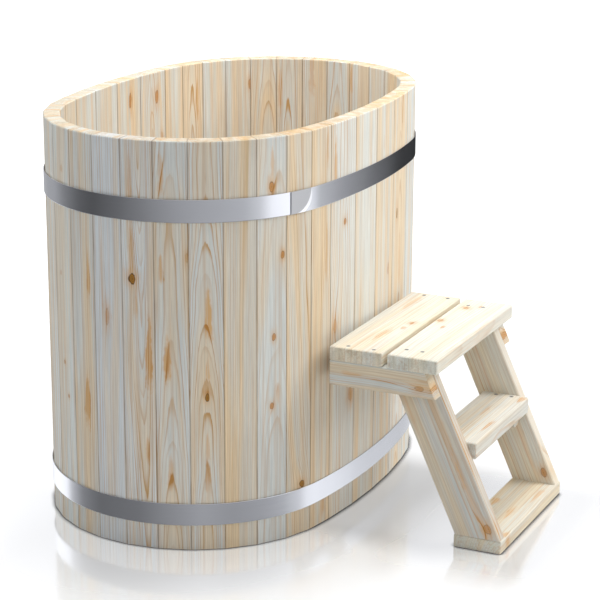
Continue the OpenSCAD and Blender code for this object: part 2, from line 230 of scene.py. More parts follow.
# A feature whose core is above the first is a knot, and else a flame; above the second it is dead
KNOT_CORE, DEAD_CORE = 0.25, 0.85
FLAME_BEND = 0.10  # how far a flame turns the rings aside, as a share of what a knot does


def knot_group():
    """One knot or flame: how it bends the rings, and where it is dark or orange."""
    g, i, out = group(
        "pine_knot",
        [("Vector", V), ("U", F), ("Z", F), ("Radius", F), ("Stretch", F), ("Seed", F)],
        [("Bend", F), ("Core", F), ("Halo", F), ("Flame", F), ("Shade", F)])
    p, seed, radius = i["Vector"], i["Seed"], i["Radius"]
    x, _, z = g.split(p)
    wob = g.noise(g.stretch(p, 0.11, 0.11, 0.05), seed)
    slow_wob = g.noise(g.stretch(p, 0.05, 0.05, 0.016), g.plus(seed, 9.0), detail=1.0)
    dz = g.over(g.minus(z, i["Z"]), i["Stretch"])
    du = g.mul_plus(g.minus(slow_wob, 0.5), g.mul(radius, 1.6), g.minus(x, i["U"]))
    dist = g.over(g.length(du, dz), radius)
    dist = g.mul(dist, g.linear(wob, 0.2, 0.8, 0.75, 1.25))
    # Rings give way to both sides of the knot, far more along the grain than across it
    far = g.over(g.length(du, g.mul(dz, 0.45)), g.mul(radius, 2.4))
    g.put(out.inputs["Bend"], g.mul(g.bell(far), g.mul(radius, 1.25)))
    g.put(out.inputs["Core"], g.ramp(dist, 1.08, 0.86))
    g.put(out.inputs["Halo"], g.bell(g.over(dist, 1.75)))
    # A flame has a pointed top: it narrows with height
    slim = g.mul(du, g.linear(dz, g.mul(radius, -1.0), g.mul(radius, 1.6), 0.85, 1.9))
    tongue = g.over(g.length(slim, dz), radius)
    tongue = g.mul(tongue, g.linear(wob, 0.2, 0.8, 0.7, 1.3))
    g.put(out.inputs["Flame"], g.ramp(tongue, 1.75, 0.65))
    # A knot's own rings, its dark outline and its heart
    rings = g.math("FRACT", g.plus(g.mul(dist, 2.6), wob))
    outline = g.ramp(dist, 0.70, 0.92)
    heart = g.ramp(dist, 0.34, 0.08, 0.0, 0.55)
    shade = g.math("MAXIMUM", g.mul(g.ramp(rings, 0.35, 0.95), 0.35), outline)
    g.put(out.inputs["Shade"], g.math("MAXIMUM", shade, heart))
    return g.tree


def wood_group():
    """Growth rings of a board cut from a log, with fibres, pale and warm bands and dark joints."""
    g, i, out = group(
        "pine_board",
        [("Vector", V), ("Seed", F), ("Pith U", F), ("Pith D", F), ("Lean U", F), ("Lean D", F),
         ("Spacing", F), ("Contrast", F), ("Warmth", F), ("Bend", F), ("Stain", F),
         ("Half width", F), ("Tan left", F), ("Tan right", F), ("Cool", C), ("Warm", C),
         ("Late", C), ("End low", F), ("End high", F), ("End tint", C)],
        [("Color", C), ("Roughness", F), ("Height", F)])
    p, stain = i["Vector"], i["Stain"]
    x, y, z = g.split(p)

    def noise(shift, across, lengthwise, **kind):
        """Noise with its own seed, drawn out along the grain."""
        w = g.plus(i["Seed"], shift) if shift else i["Seed"]
        return g.noise(g.stretch(p, across, across, lengthwise), w, **kind)

    def centred(value, amount):
        return g.mul(g.minus(value, 0.5), amount)

    # The log's middle wanders along the board, and leans against it
    long_way = g.join(0.0, 0.0, g.mul(z, 0.0016))
    wander_u = centred(g.noise(long_way, g.plus(i["Seed"], 3.1)), 18.0)
    wander_d = centred(g.noise(long_way, g.plus(i["Seed"], 47.7)), 20.0)
    pith_u = g.plus(g.mul_plus(i["Lean U"], z, i["Pith U"]), wander_u)
    pith_d = g.plus(g.mul_plus(i["Lean D"], z, i["Pith D"]), wander_d)
    r = g.length(g.minus(x, pith_u), g.minus(y, pith_d))
    # Waves of the rings, long and short
    r = g.plus(r, centred(noise(0.0, 0.007, 0.0040), 9.0))
    r = g.plus(r, centred(noise(21.0, 0.22, 0.010), 1.0))
    r = g.plus(r, i["Bend"])
    # Rings of uneven width
    t = g.over(r, i["Spacing"])
    uneven = g.noise(g.join(g.mul(t, 0.31), 0.0, 0.0), g.plus(i["Seed"], 5.0), detail=1.0)
    t = g.plus(t, g.mul(uneven, 2.2))
    ring, f = g.math("FLOOR", t), g.math("FRACT", t)
    bold = g.add("ShaderNodeTexWhiteNoise", {"Vector": g.join(ring, i["Seed"], 0.0)},
                 noise_dimensions="3D").outputs["Value"]
    bold = g.power(bold, 1.3)
    late = g.mul(g.power(g.ramp(f, 0.46, 0.92), 2.0), g.ramp(f, 1.0, 0.94))
    # Each late band fades in and out along the board
    fade = g.ramp(noise(77.0, 0.03, 0.0045), 0.32, 0.66, 0.42, 1.0)
    lines = g.mul(g.mul(late, g.mul_plus(bold, 0.92, 0.24)), fade)
    lines = g.mul(lines, g.mul_plus(stain, 1.3, i["Contrast"]), clamp=True)
    # Broad pale and warm bands that follow the rings
    band = g.noise(g.join(g.mul(t, 0.24), 0.0, g.mul(z, 0.0012)), g.plus(i["Seed"], 31.0))
    warm = g.plus(g.ramp(band, 0.38, 0.64, -0.50, 0.50), i["Warmth"], clamp=True)
    base = g.mix(warm, i["Cool"], i["Warm"])
    # Fibres: fine and coarse streaks, stripes of late wood, and short darker resin marks
    fibre = noise(11.0, 0.95, 0.016, detail=3.0, rough=0.6)
    coarse = noise(13.0, 0.30, 0.0045)
    resin = g.ramp(noise(17.0, 0.75, 0.030, detail=1.0), 0.70, 0.80)
    stripe = noise(15.0, 0.13, 0.0018)
    shade = g.mul(g.linear(fibre, 0.25, 0.75, 0.86, 1.10), g.linear(coarse, 0.28, 0.72, 0.88, 1.09))
    base = g.mix(1.0, base, g.grey(shade), "MULTIPLY")
    base = g.mix(g.ramp(stripe, 0.50, 0.70, 0.0, 0.32), base, i["Late"])
    streaky = g.mul(stain, g.ramp(coarse, 0.32, 0.62, 0.35, 1.0), clamp=True)
    base = g.mix(g.mul(streaky, 0.80), base, STAINED)
    colour = g.mix(lines, base, g.mix(stain, i["Late"], STAINED_LATE))
    colour = g.mix(g.mul(resin, 0.30), colour, RESIN)
    # Joints: the long edges are browner where boards meet
    right = g.minus(g.minus(i["Half width"], x), g.mul(y, i["Tan right"]))
    left = g.minus(g.plus(i["Half width"], x), g.mul(y, i["Tan left"]))
    joint = g.mul(g.ramp(g.math("MINIMUM", right, left), 2.8, 0.5),
                  g.ramp(noise(63.0, 0.01, 0.012), 0.3, 0.7, 0.45, 1.0))
    colour = g.mix(g.mul(joint, 0.68), colour, JOINT)
    # End grain is darker, and in places stained orange
    low, high = i["End low"], i["End high"]
    end = g.math("MAXIMUM", g.ramp(z, g.plus(low, 0.5), g.plus(low, 0.2)),
                 g.ramp(z, g.minus(high, 0.5), g.minus(high, 0.2)))
    patchy = g.noise(g.stretch(p, 0.045, 0.02, 0.0), g.plus(i["Seed"], 91.0), detail=1.0)
    tint = g.mix(g.ramp(patchy, 0.36, 0.62, 0.15, 1.0), WHITE, i["End tint"])
    colour = g.mix(end, colour, g.mix(1.0, colour, tint, "MULTIPLY"))
    g.put(out.inputs["Color"], colour)
    rough = g.linear(fibre, 0.2, 0.8, 0.56, 0.72)
    g.put(out.inputs["Roughness"], g.minus(rough, g.mul(lines, 0.12)))
    height = g.plus(g.mul(fibre, 0.55), g.mul(lines, 0.45))
    g.put(out.inputs["Height"], g.minus(height, g.mul(resin, 0.5)))
    return g.tree


KNOT = knot_group()
WOOD = wood_group()


def pine(name, origin, u, d, seed, pith=(10.0, 60.0), lean=(0.0, 0.03), spacing=4.2, contrast=0.75,
         warmth=0.35, half_width=1000.0, tans=(0.0, 0.0), features=(), cool=COOL, warm=WARM,
         give=1.0, ends=(-5000.0, 5000.0), end_tint=(0.80, 0.80, 0.78, 1.0)):
    """Pine of one board. origin is on its face, in millimetres in the part's frame, u runs across
    the face and d into it, so that the grain runs along u x d.

    pith is the log's middle across and into the board, lean how that moves along the board, and
    spacing the width of a ring. A feature is (across, along, radius, stretch, core, halo).
    """
    mat, g = new_material(name)
    u, d = Vector(u).normalized(), Vector(d).normalized()
    turn = Matrix((u, d, u.cross(d)))
    coord = g.add("ShaderNodeTexCoord").outputs["Object"]
    place = g.add("ShaderNodeMapping", {"Vector": coord, "Scale": (MM, MM, MM),
                                        "Rotation": turn.to_euler("XYZ"),
                                        "Location": -(turn @ Vector(origin))}, vector_type="POINT")
    local = place.outputs[0]
    knots = []
    bend, stain = 0.0, 0.0
    for k, (across, height, radius, stretch, core, halo) in enumerate(features):
        node = g.add("ShaderNodeGroup",
                     {"Vector": local, "U": across, "Z": height, "Radius": radius,
                      "Stretch": stretch, "Seed": seed + 2.3 * k}, node_tree=KNOT)
        knots.append((node, core))
        # Only a knot turns the rings well aside; a flame is a stain between them
        is_knot = core > KNOT_CORE
        aside = g.mul(node.outputs["Bend"], give if is_knot else FLAME_BEND * give)
        more = g.mul(node.outputs["Halo" if is_knot else "Flame"], halo)
        bend = g.plus(bend, aside) if k else aside
        stain = g.plus(stain, more) if k else more
    wood = g.add("ShaderNodeGroup",
                 {"Vector": local, "Seed": seed, "Pith U": pith[0], "Pith D": pith[1],
                  "Lean U": lean[0], "Lean D": lean[1], "Spacing": spacing, "Contrast": contrast,
                  "Warmth": warmth, "Bend": bend, "Stain": stain, "Half width": half_width,
                  "Tan left": tans[0], "Tan right": tans[1], "Cool": cool, "Warm": warm,
                  "Late": LATE, "End low": ends[0], "End high": ends[1], "End tint": end_tint},
                 node_tree=WOOD)
    colour = wood.outputs["Color"]
    for node, core in knots:
        if core > 0:
            heart, outline = DEAD if core > DEAD_CORE else SOUND
            inner = g.mix(node.outputs["Shade"], heart, outline)
            colour = g.mix(g.mul(node.outputs["Core"], core), colour, inner)
    bump = g.add("ShaderNodeBump", {"Strength": 0.35, "Distance": 0.0007,
                                    "Height": wood.outputs["Height"]})
    shader = g.add("ShaderNodeBsdfPrincipled", {"Base Color": colour, "Specular IOR Level": 0.32,
                                                "Roughness": wood.outputs["Roughness"],
                                                "Normal": bump.outputs[0]})
    g.add("ShaderNodeOutputMaterial", {"Surface": shader.outputs[0]})
    return mat


def dress(node, mat):
    """Gives a CAD node a material in every slot."""
    obj = nodes[node]
    if not obj.material_slots:
        obj.data.materials.append(mat)
    for s in obj.material_slots:
        s.material = mat


# -----------------------------------------------------------------------------------------------
# Staves. Each feature is (across, height, radius, stretch along the grain, core, halo)
# -----------------------------------------------------------------------------------------------
STRAIGHT = dict(pith=(150.0, 60.0), lean=(0.01, 0.0), spacing=5.0, contrast=0.55)
CATHEDRAL = dict(pith=(3.0, 40.0), lean=(0.0, 0.034), spacing=3.6, contrast=1.0, give=0.3)
# The staves that the photograph shows, from outside or over the rim
LOOKS = {
    1: dict(STRAIGHT, warmth=0.75, contrast=0.6, cool=(0.780, 0.800, 0.780, 1.0),
            warm=(0.865, 0.725, 0.530, 1.0),
            features=[(31, 569, 4, 4, 0.5, 0.6), (-8, 905, 4, 4, 0.0, 0.4)]),
    2: dict(CATHEDRAL, warmth=0.7, cool=(0.770, 0.790, 0.770, 1.0), warm=(0.855, 0.710, 0.515, 1.0),
            features=[(15, 965, 5, 8, 0.3, 0.8), (-22, 699, 5, 3, 0.9, 0.8),
                      (5, 560, 6, 9, 0.0, 0.7)]),
    3: dict(STRAIGHT, warmth=0.15, contrast=0.35, cool=(0.770, 0.805, 0.790, 1.0)),
    4: dict(STRAIGHT, warmth=0.3),
    8: dict(STRAIGHT, warmth=0.3, features=[(31, 960, 5, 6, 0.0, 0.7)]),
    10: dict(STRAIGHT, pith=(60.0, 30.0), warmth=0.6, contrast=0.9,
             features=[(8, 985, 7, 9, 0.0, 0.75)]),
    11: dict(CATHEDRAL, warmth=0.45, features=[(24, 915, 6, 8, 0.0, 0.75)]),
    13: dict(STRAIGHT, warmth=0.4, features=[(-34, 930, 5, 3, 0.6, 0.8)]),
    15: dict(CATHEDRAL, warmth=0.35, features=[(-14, 900, 6, 7, 0.0, 0.7)]),
    17: dict(CATHEDRAL, warmth=0.25,
             features=[(-18, 932, 8, 2.4, 0.75, 0.9), (-39, 822, 6, 2, 0.3, 0.6)]),
    18: dict(STRAIGHT, warmth=0.55, features=[(-5, 943, 6, 3.5, 0.8, 0.9)]),
    # Stave 24's paler, cooler early wood is painted rim light from the left
    24: dict(STRAIGHT, warmth=0.30, contrast=0.4, cool=(0.785, 0.805, 0.770, 1.0)),
    25: dict(STRAIGHT, warmth=0.05, contrast=0.3, cool=(0.775, 0.800, 0.765, 1.0),
             features=[(-1, 900, 5, 1.5, 0.1, 0.35), (-17, 641, 4, 1.5, 0.2, 0.35),
                       (-9, 417, 3.5, 1.6, 0.6, 0.6), (7, 334, 3.5, 1.4, 0.7, 0.6)]),
    26: dict(STRAIGHT, pith=(60.0, 40.0), warmth=0.42, contrast=0.9, spacing=5.5,
             features=[(19, 660, 5, 8, 0.0, 0.9), (7, 345, 8.0, 6, 0.1, 1.5)]),
    27: dict(STRAIGHT, pith=(95.0, 30.0), warmth=0.0, contrast=0.6, spacing=6.0,
             cool=(0.760, 0.785, 0.785, 1.0), features=[(-5, 566, 5, 4.5, 0.35, 0.9)]),
    28: dict(CATHEDRAL, pith=(14.0, 34.0), lean=(-0.010, -0.030), spacing=3.5, warmth=0.16,
             cool=(0.765, 0.785, 0.770, 1.0),
             features=[(-15, 669, 10.0, 1.35, 1.0, 1.0), (-15, 740, 6, 7.0, 0.0, 0.7),
                       (-17, 905, 5, 12.0, 0.0, 0.6), (25, 495, 8.0, 8, 0.0, 1.6),
                       (18, 250, 5, 5, 0.0, 0.8), (-8, 610, 5, 5, 0.0, 0.6)]),
    29: dict(CATHEDRAL, pith=(-4.0, 36.0), lean=(0.006, 0.030), warmth=0.26,
             features=[(-22, 925, 6, 8, 0.0, 0.8), (-24, 703, 5, 6, 0.0, 0.9),
                       (-13, 478, 8, 5, 0.05, 1.2), (-7, 198, 6, 5, 0.05, 0.8),
                       (37, 727, 4, 3, 0.3, 0.8)]),
    30: dict(CATHEDRAL, pith=(0.0, 30.0), lean=(0.0, 0.032), spacing=3.3, warmth=0.31,
             features=[(4, 592, 7, 7, 0.0, 1.3), (3, 455, 4, 6, 0.0, 0.8),
                       (0, 385, 5.2, 1.9, 1.0, 1.0), (-4, 405, 7, 3.0, 0.0, 0.35),
                       (0, 262, 5, 6, 0.0, 0.7), (1, 178, 6, 6, 0.0, 0.6)]),
    31: dict(STRAIGHT, pith=(130.0, 20.0), warmth=0.85, contrast=0.6, spacing=6.0,
             warm=(0.835, 0.660, 0.435, 1.0)),
    32: dict(CATHEDRAL, pith=(12.0, 60.0), lean=(0.0, 0.030), spacing=5.0, warmth=0.18,
             contrast=0.5,
             features=[(0, 883, 6.5, 2.0, 0.8, 1.0), (30, 716, 6, 1.6, 0.85, 1.0),
                       (6, 519, 5.5, 1.8, 0.8, 0.9), (0, 348, 4.5, 2.0, 0.8, 0.9),
                       (17, 377, 4, 5, 0.0, 0.8), (2, 945, 5, 5, 0.0, 0.6)]),
    33: dict(STRAIGHT, pith=(90.0, 62.0), lean=(-0.06, 0.0), warmth=0.85, contrast=0.95,
             spacing=5.2, features=[(13, 128, 8.5, 1.2, 0.95, 0.9), (38, 868, 4, 3, 0.0, 0.6)]),
    34: dict(STRAIGHT, pith=(120.0, 40.0), warmth=0.92, contrast=1.0, spacing=6.0,
             features=[(25, 955, 5, 8, 0.0, 0.7), (24, 700, 5, 12, 0.0, 0.6),
                       (15, 51, 8, 3, 0.0, 0.8)]),
    35: dict(STRAIGHT, pith=(-110.0, 46.0), warmth=0.36, contrast=0.75, spacing=7.5,
             cool=(0.800, 0.795, 0.740, 1.0),
             features=[(8, 751, 5.5, 1.6, 0.8, 0.8), (-36, 496, 9, 2.2, 0.3, 1.1),
                       (-38, 900, 7, 8, 0.0, 0.9), (42, 300, 10, 2.0, 0.3, 1.1)]),
    36: dict(STRAIGHT, pith=(170.0, 30.0), warmth=0.48, contrast=0.35, spacing=8.0,
             cool=(0.805, 0.800, 0.740, 1.0)),
}


def unseen_look(number):
    """Made-up grain of a stave that the photograph doesn't show."""
    if number % 3:
        return dict(STRAIGHT, pith=(90.0 + 9 * (number % 8), 20.0 + 6 * (number % 9)),
                    warmth=0.1 + 0.11 * (number % 6))
    knot = (10.0 - 4 * (number % 6), 150.0 + 41 * (number % 17), 5.5, 2.0, 0.8, 0.8)
    return dict(CATHEDRAL, pith=(-12.0 + 5 * (number % 6), 48.0 + number % 5), contrast=0.8,
                warmth=0.2 + 0.08 * (number % 7), features=[knot])


# The rim is paler at the left and more orange on the ladder's side
END_LEFT, END_RIGHT = (0.95, 0.88, 0.77, 1.0), (0.86, 0.73, 0.56, 1.0)
# Half the turn of the outline at each seam, which is the slope of the mitre there
TURNS = [math.atan2(along(i - 1).cross(along(i)), along(i - 1).dot(along(i))) / 2
         for i in range(STAVES)]
for i in range(STAVES):
    number = i + 1
    mid = (corner(i) + corner(i + 1)) / 2
    across = along(i)
    rightness = (mid.x / HALF_W + 1) / 2
    end_grain = [a + (b - a) * rightness for a, b in zip(END_LEFT, END_RIGHT)]
    dress("stave_%02d" % number,
          pine("stave_%02d_pine" % number, (mid.x - ORIGIN_X, mid.y, 0.0),
               (across.x, across.y, 0.0), (-across.y, across.x, 0.0), seed=number * 3.7,
               half_width=(corner(i + 1) - corner(i)).length / 2,
               tans=(math.tan(TURNS[i]), math.tan(TURNS[(i + 1) % STAVES])), ends=(0.0, TUB_H),
               end_tint=end_grain, **(LOOKS.get(number) or unseen_look(number))))

# -----------------------------------------------------------------------------------------------
# Floor, bearers and the ladder's boards
# -----------------------------------------------------------------------------------------------
LADDER_Y = -40.0
FLOOR_BOARDS, TONGUE = 5, 4.0


def board_box(node):
    """Low and high corner of a node's box, in millimetres in the part's frame."""
    low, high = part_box(node)
    return Vector(low) * MM, Vector(high) * MM


for k in range(FLOOR_BOARDS):
    name = "floor_board_%d" % (k + 1)
    low, high = board_box(name)
    tongue = TONGUE if k < FLOOR_BOARDS - 1 else 0.0
    dress(name, pine(name + "_pine", ((low.x + high.x) / 2, 0, high.z), (-1, 0, 0), (0, 0, -1),
                     seed=201 + 5.3 * k, pith=(-20.0 + 13 * k, 55.0), lean=(0.0, 0.04),
                     spacing=5.5, warmth=0.25 + 0.1 * (k % 3),
                     half_width=(high.x - low.x) / 2 - tongue,
                     features=[(20.0 - 11 * k, -300.0 + 170 * k, 7, 1.3, 1.0, 0.7)]))
for name, seed in (("left_bearer", 231.0), ("right_bearer", 237.0)):
    low, high = board_box(name)
    dress(name, pine(name + "_pine", (0, (low.y + high.y) / 2, high.z), (0, 1, 0), (0, 0, -1),
                     seed=seed, pith=(60.0, 30.0), spacing=4.5, warmth=0.5))

# Painted light and shade: copies of one pine, paler where a board is lit, darker where shaded
PAINTED_LIGHT = dict(cool=(0.820, 0.800, 0.720, 1.0), warm=(0.875, 0.785, 0.615, 1.0))
PAINTED_PALE_LIGHT = dict(cool=(0.845, 0.845, 0.765, 1.0), warm=(0.880, 0.825, 0.675, 1.0))
PAINTED_DIM = dict(cool=(0.750, 0.745, 0.690, 1.0), warm=(0.800, 0.700, 0.545, 1.0))
PAINTED_SHADE = dict(cool=(0.665, 0.665, 0.620, 1.0), warm=(0.745, 0.625, 0.450, 1.0))
PAINTED_LOW_SHADE = dict(cool=(0.740, 0.710, 0.620, 1.0), warm=(0.790, 0.670, 0.480, 1.0),
           end_tint=(0.97, 0.99, 0.95, 1.0))
# Seed, look and features of the boards one steps on. A feature is (X, Y, radius, stretch, core,
# halo), with X and Y about the tub's middle
BOARDS = {
    "inner_platform_board": (
        301.0, dict(PAINTED_LIGHT, pith=(170.0, 20.0), lean=(0.03, 0.0), spacing=8.0, contrast=0.45,
                    warmth=0.5, give=0.5),
        [(506, -40, 7, 1.3, 0.6, 0.9), (502, -88, 6, 1.8, 0.15, 0.7), (474, -160, 8, 5, 0.0, 0.7),
         (440, 120, 9, 5, 0.0, 0.4)]),
    "outer_platform_board": (
        311.0, dict(PAINTED_PALE_LIGHT, pith=(-160.0, 10.0), lean=(0.03, 0.0), spacing=8.0, contrast=0.4,
                    warmth=0.4, give=0.5),
        [(580, 141, 7, 1.3, 0.5, 0.9), (563, 12, 6, 1.8, 0.5, 0.8), (586, -38, 6, 1.6, 0.25, 0.7),
         (610, 165, 4, 2.0, 0.3, 0.5), (680, -140, 10, 14, 0.0, 0.22),
         (680, 80, 10, 14, 0.0, 0.22)]),
    "middle_tread": (
        321.0, dict(PAINTED_DIM, pith=(90.0, 38.0), lean=(0.0, 0.03), spacing=5.5, contrast=0.5,
                    warmth=0.35),
        [(734, -98, 6, 5, 0.0, 0.8), (690, 4, 5, 6, 0.0, 0.5), (742, 120, 7, 2.4, 0.15, 0.9)]),
    "bottom_board": (
        331.0, dict(PAINTED_LOW_SHADE, pith=(-90.0, 40.0), lean=(0.0, 0.05), spacing=6.5, contrast=0.5,
                    warmth=0.35),
        [(732, -20, 9, 2.2, 0.0, 0.8), (790, -80, 6, 6, 0.0, 0.6), (830, -215, 7, 2.5, 0.1, 0.8),
         (815, 60, 6, 6, 0.0, 0.6)]),
}
# A free edge has no brown of a joint: that is put this far outside it, or at this half width
BEYOND, BEYOND_HALF = 4.0, 60.0
for name, (seed, look, marks) in BOARDS.items():
    low, high = board_box(name)
    middle = (low.x + high.x) / 2
    # Seen from above, u runs towards -X and the grain towards -Y
    marks = [(middle + ORIGIN_X - x, LADDER_Y - y, *rest) for x, y, *rest in marks]
    dress(name, pine(name + "_pine", (middle, LADDER_Y, high.z), (-1, 0, 0), (0, 0, -1), seed=seed,
                     half_width=(high.x - low.x) / 2 + BEYOND, features=marks,
                     ends=(LADDER_Y - high.y, LADDER_Y - low.y), **look))

# The rails' outer faces, with the grain along X. A feature is (across, X, radius, stretch, core,
# halo), with X about the tub's middle
RAILS = (
    ("left_rail", 341.0, -1,
     # This rail faces the front; its darker colours are painted shade
     dict(cool=(0.700, 0.710, 0.670, 1.0), warm=(0.780, 0.670, 0.495, 1.0), pith=(120.0, 10.0),
          spacing=6.0, contrast=0.55, warmth=0.45),
     [(9.0, 633.0, 8, 1.5, 0.5, 1.0), (8.0, 668.0, 7, 1.2, 0.5, 1.0),
      (-4.0, 460.0, 5, 4.0, 0.0, 0.6), (2.0, 560.0, 4, 12.0, 0.0, 0.4)]),
    ("right_rail", 347.0, 1, dict(pith=(-90.0, 20.0), spacing=5.2, contrast=0.7, warmth=0.4),
     [(-9.0, 668.0, 8, 1.2, 0.6, 1.1)]))
for name, seed, side, look, marks in RAILS:
    low, high = board_box(name)
    d = Vector((0, -side, 0))
    marks = [(across, x - ORIGIN_X, *rest) for across, x, *rest in marks]
    dress(name, pine(name + "_pine", (0, low.y if side < 0 else high.y, (low.z + high.z) / 2),
                     d.cross(Vector((1, 0, 0))), d, seed=seed, half_width=BEYOND_HALF,
                     features=marks, **look))

low, high = board_box("wall_ledger")
dress("wall_ledger", pine("wall_ledger_pine", (high.x, 0, (low.z + high.z) / 2), (0, 0, 1),
                          (-1, 0, 0), seed=353.0, pith=(50.0, 40.0), spacing=5.0, warmth=0.4))
for name, seed, side in (("left_cleat", 361.0, -1), ("right_cleat", 367.0, 1)):
    low, high = board_box(name)
    d = Vector((0, side, 0))
    dress(name, pine(name + "_pine", (0, low.y, (low.z + high.z) / 2), d.cross(Vector((1, 0, 0))),
                     d, seed=seed, pith=(60.0, 20.0), spacing=4.6, warmth=0.45))

# The stringers' faces that look to -Y: the near one's outside and the far one's inside
SLOPE = math.radians(24.7)
GRAIN = Vector((math.sin(SLOPE), 0.0, -math.cos(SLOPE)))
FRONT = Vector((math.cos(SLOPE), 0.0, math.sin(SLOPE)))
STRINGER_TOP, STRINGER_HALF = (645.5, 440.0), 52.75  # X and Z of the top front edge
# Both front edges have a warmer tone
FRONT_EDGE = [(-54, 110, 9, 16, 0.0, 0.20), (-54, 330, 9, 16, 0.0, 0.17)]
# Seed, look, one knot as (X, Z, radius, stretch, core, halo) with X and Z about the tub's middle,
# and flames as (across, along, radius, stretch, core, halo)
# The front stringer's pine is the painted-shade copy, and the back one's the painted-light copy
STRINGERS = {
    "left_stringer": (
        371.0, dict(PAINTED_SHADE, pith=(-85.0, 40.0), lean=(0.01, 0.0), spacing=9.0, contrast=0.62,
                    warmth=0.4),
        (802, 60, 9, 1.5, 0.6, 0.9),
        [(-22, 140, 9, 14, 0.0, 0.45), (-24, 370, 10, 12, 0.0, 0.55), (40, 50, 9, 8, 0.0, 0.4)]),
    "right_stringer": (
        379.0, dict(PAINTED_LIGHT, pith=(80.0, 36.0), lean=(0.01, 0.0), spacing=9.0, contrast=0.75,
                    warmth=0.55),
        (801, 62, 9, 1.5, 0.7, 0.9),
        [(12, 80, 6, 14, 0.0, 0.4), (-15, 330, 6, 12, 0.0, 0.4)]),
}
for name, (seed, look, (knot_x, knot_z, *knot), flames) in STRINGERS.items():
    low, high = board_box(name)
    origin = Vector((STRINGER_TOP[0] - ORIGIN_X, low.y, STRINGER_TOP[1])) - FRONT * STRINGER_HALF
    d = Vector((0, 1, 0))
    u = d.cross(GRAIN)
    rel = Vector((knot_x - ORIGIN_X, low.y, knot_z)) - origin
    marks = [(rel.dot(u), rel.dot(GRAIN), *knot)] + FRONT_EDGE + flames
    dress(name, pine(name + "_pine", origin, u, d, seed=seed, half_width=BEYOND_HALF,
                     features=marks, **look))

# -----------------------------------------------------------------------------------------------
# Steel, rubber and the screws
# -----------------------------------------------------------------------------------------------
# The hoops' bands, and the straight outer end that laps over each
HOOP_GAP, HOOP_T, HOOP_W, LAP_L, LAP_EDGE = 0.05, 1.8, 54.5, 46.0, 388.0
# Height of each hoop's lower edge, and the signs of X and Y where its lap is
HOOPS = {"upper_hoop": (810.0, 1, -1), "lower_hoop": (64.0, -1, 1)}
# The ground end of a lap is one disc, rougher and darker from a painted dull reflection, and its
# bright rim, a painted highlight, is what a second one covers beyond it: place along the lap,
# height over the hoop's lower edge and radius
GROUND_AND_PAINTED_DULL_DISC, PAINTED_HIGHLIGHT_DISC = (35.3, 56.6, 56.9), (16.8, 39.4, 41.3)


def lap_frame():
    """Directions out of and along a lap's flat plate, in the oval's first quarter."""
    edge_a = SIDE_A + (LAP_EDGE - SIDE_ARC) / END_R
    a = edge_a - math.atan2(LAP_L, END_R + HOOP_GAP + HOOP_T)
    return Vector((math.cos(a), math.sin(a))), Vector((-math.sin(a), math.cos(a)))


def steel(name, colour, rough, streak=(7.0, 7.0, 950.0), lap=None):
    """Brushed steel. A lap is the entry of HOOPS whose ground joint the steel shows, with a painted
    dull reflection on it and a painted highlight round it.
    """
    mat, g = new_material(name)
    p = g.add("ShaderNodeTexCoord").outputs["Object"]
    lines = g.noise(g.stretch(p, *streak), 4.0, detail=3.0, rough=0.6)
    cloud = g.noise(p, 8.0, scale=5.0)
    tint = g.mul(g.linear(cloud, 0.25, 0.75, 0.93, 1.05), g.linear(lines, 0.2, 0.8, 0.96, 1.03))
    base = g.mix(1.0, colour, g.grey(tint), "MULTIPLY")
    roughness = g.plus(g.linear(lines, 0.2, 0.8, rough - 0.03, rough + 0.04),
                       g.linear(cloud, 0.3, 0.8, -0.015, 0.025))
    bump = g.add("ShaderNodeBump", {"Strength": 0.06, "Distance": 0.0002, "Height": lines})
    if lap:
        z0, flip_x, flip_y = lap
        x, y, z = g.split(p)
        radial, side = lap_frame()
        x = g.mul(g.plus(g.mul(x, MM), ORIGIN_X), float(flip_x))
        y = g.minus(g.mul(y, MM * flip_y), END_C)
        out_by = g.plus(g.mul(x, radial.x), g.mul(y, radial.y))
        run = g.plus(g.mul(x, side.x), g.mul(y, side.y))
        rise = g.minus(g.mul(z, MM), z0)

        def disc(run0, rise0, radius):
            dist = g.length(g.minus(run, run0), g.minus(rise, rise0))
            return g.ramp(dist, radius + 0.6, radius - 0.6)

        # Only on the lap's side of the oval, and up to the end of its plate
        here = g.mul(g.ramp(run, LAP_L + 0.02, LAP_L - 0.02), g.ramp(out_by, 300.0, 320.0))
        # Painted reflection: the ground end's steel is darker as well as rougher, and the rim
        # beyond it is a painted highlight
        ground_and_painted_dull = g.mul(here, disc(*GROUND_AND_PAINTED_DULL_DISC))
        painted_highlight = g.minus(g.mul(here, disc(*PAINTED_HIGHLIGHT_DISC)), ground_and_painted_dull, clamp=True)
        base = g.mix(ground_and_painted_dull, base, (0.66, 0.66, 0.665, 1.0))
        base = g.mix(painted_highlight, base, (0.98, 0.98, 0.99, 1.0))
        roughness = g.plus(roughness, g.mul(ground_and_painted_dull, 0.36))
    shader = g.add("ShaderNodeBsdfPrincipled", {"Base Color": base, "Roughness": roughness,
                                                "Normal": bump.outputs[0], "Metallic": 1.0})
    g.add("ShaderNodeOutputMaterial", {"Surface": shader.outputs[0]})
    return mat


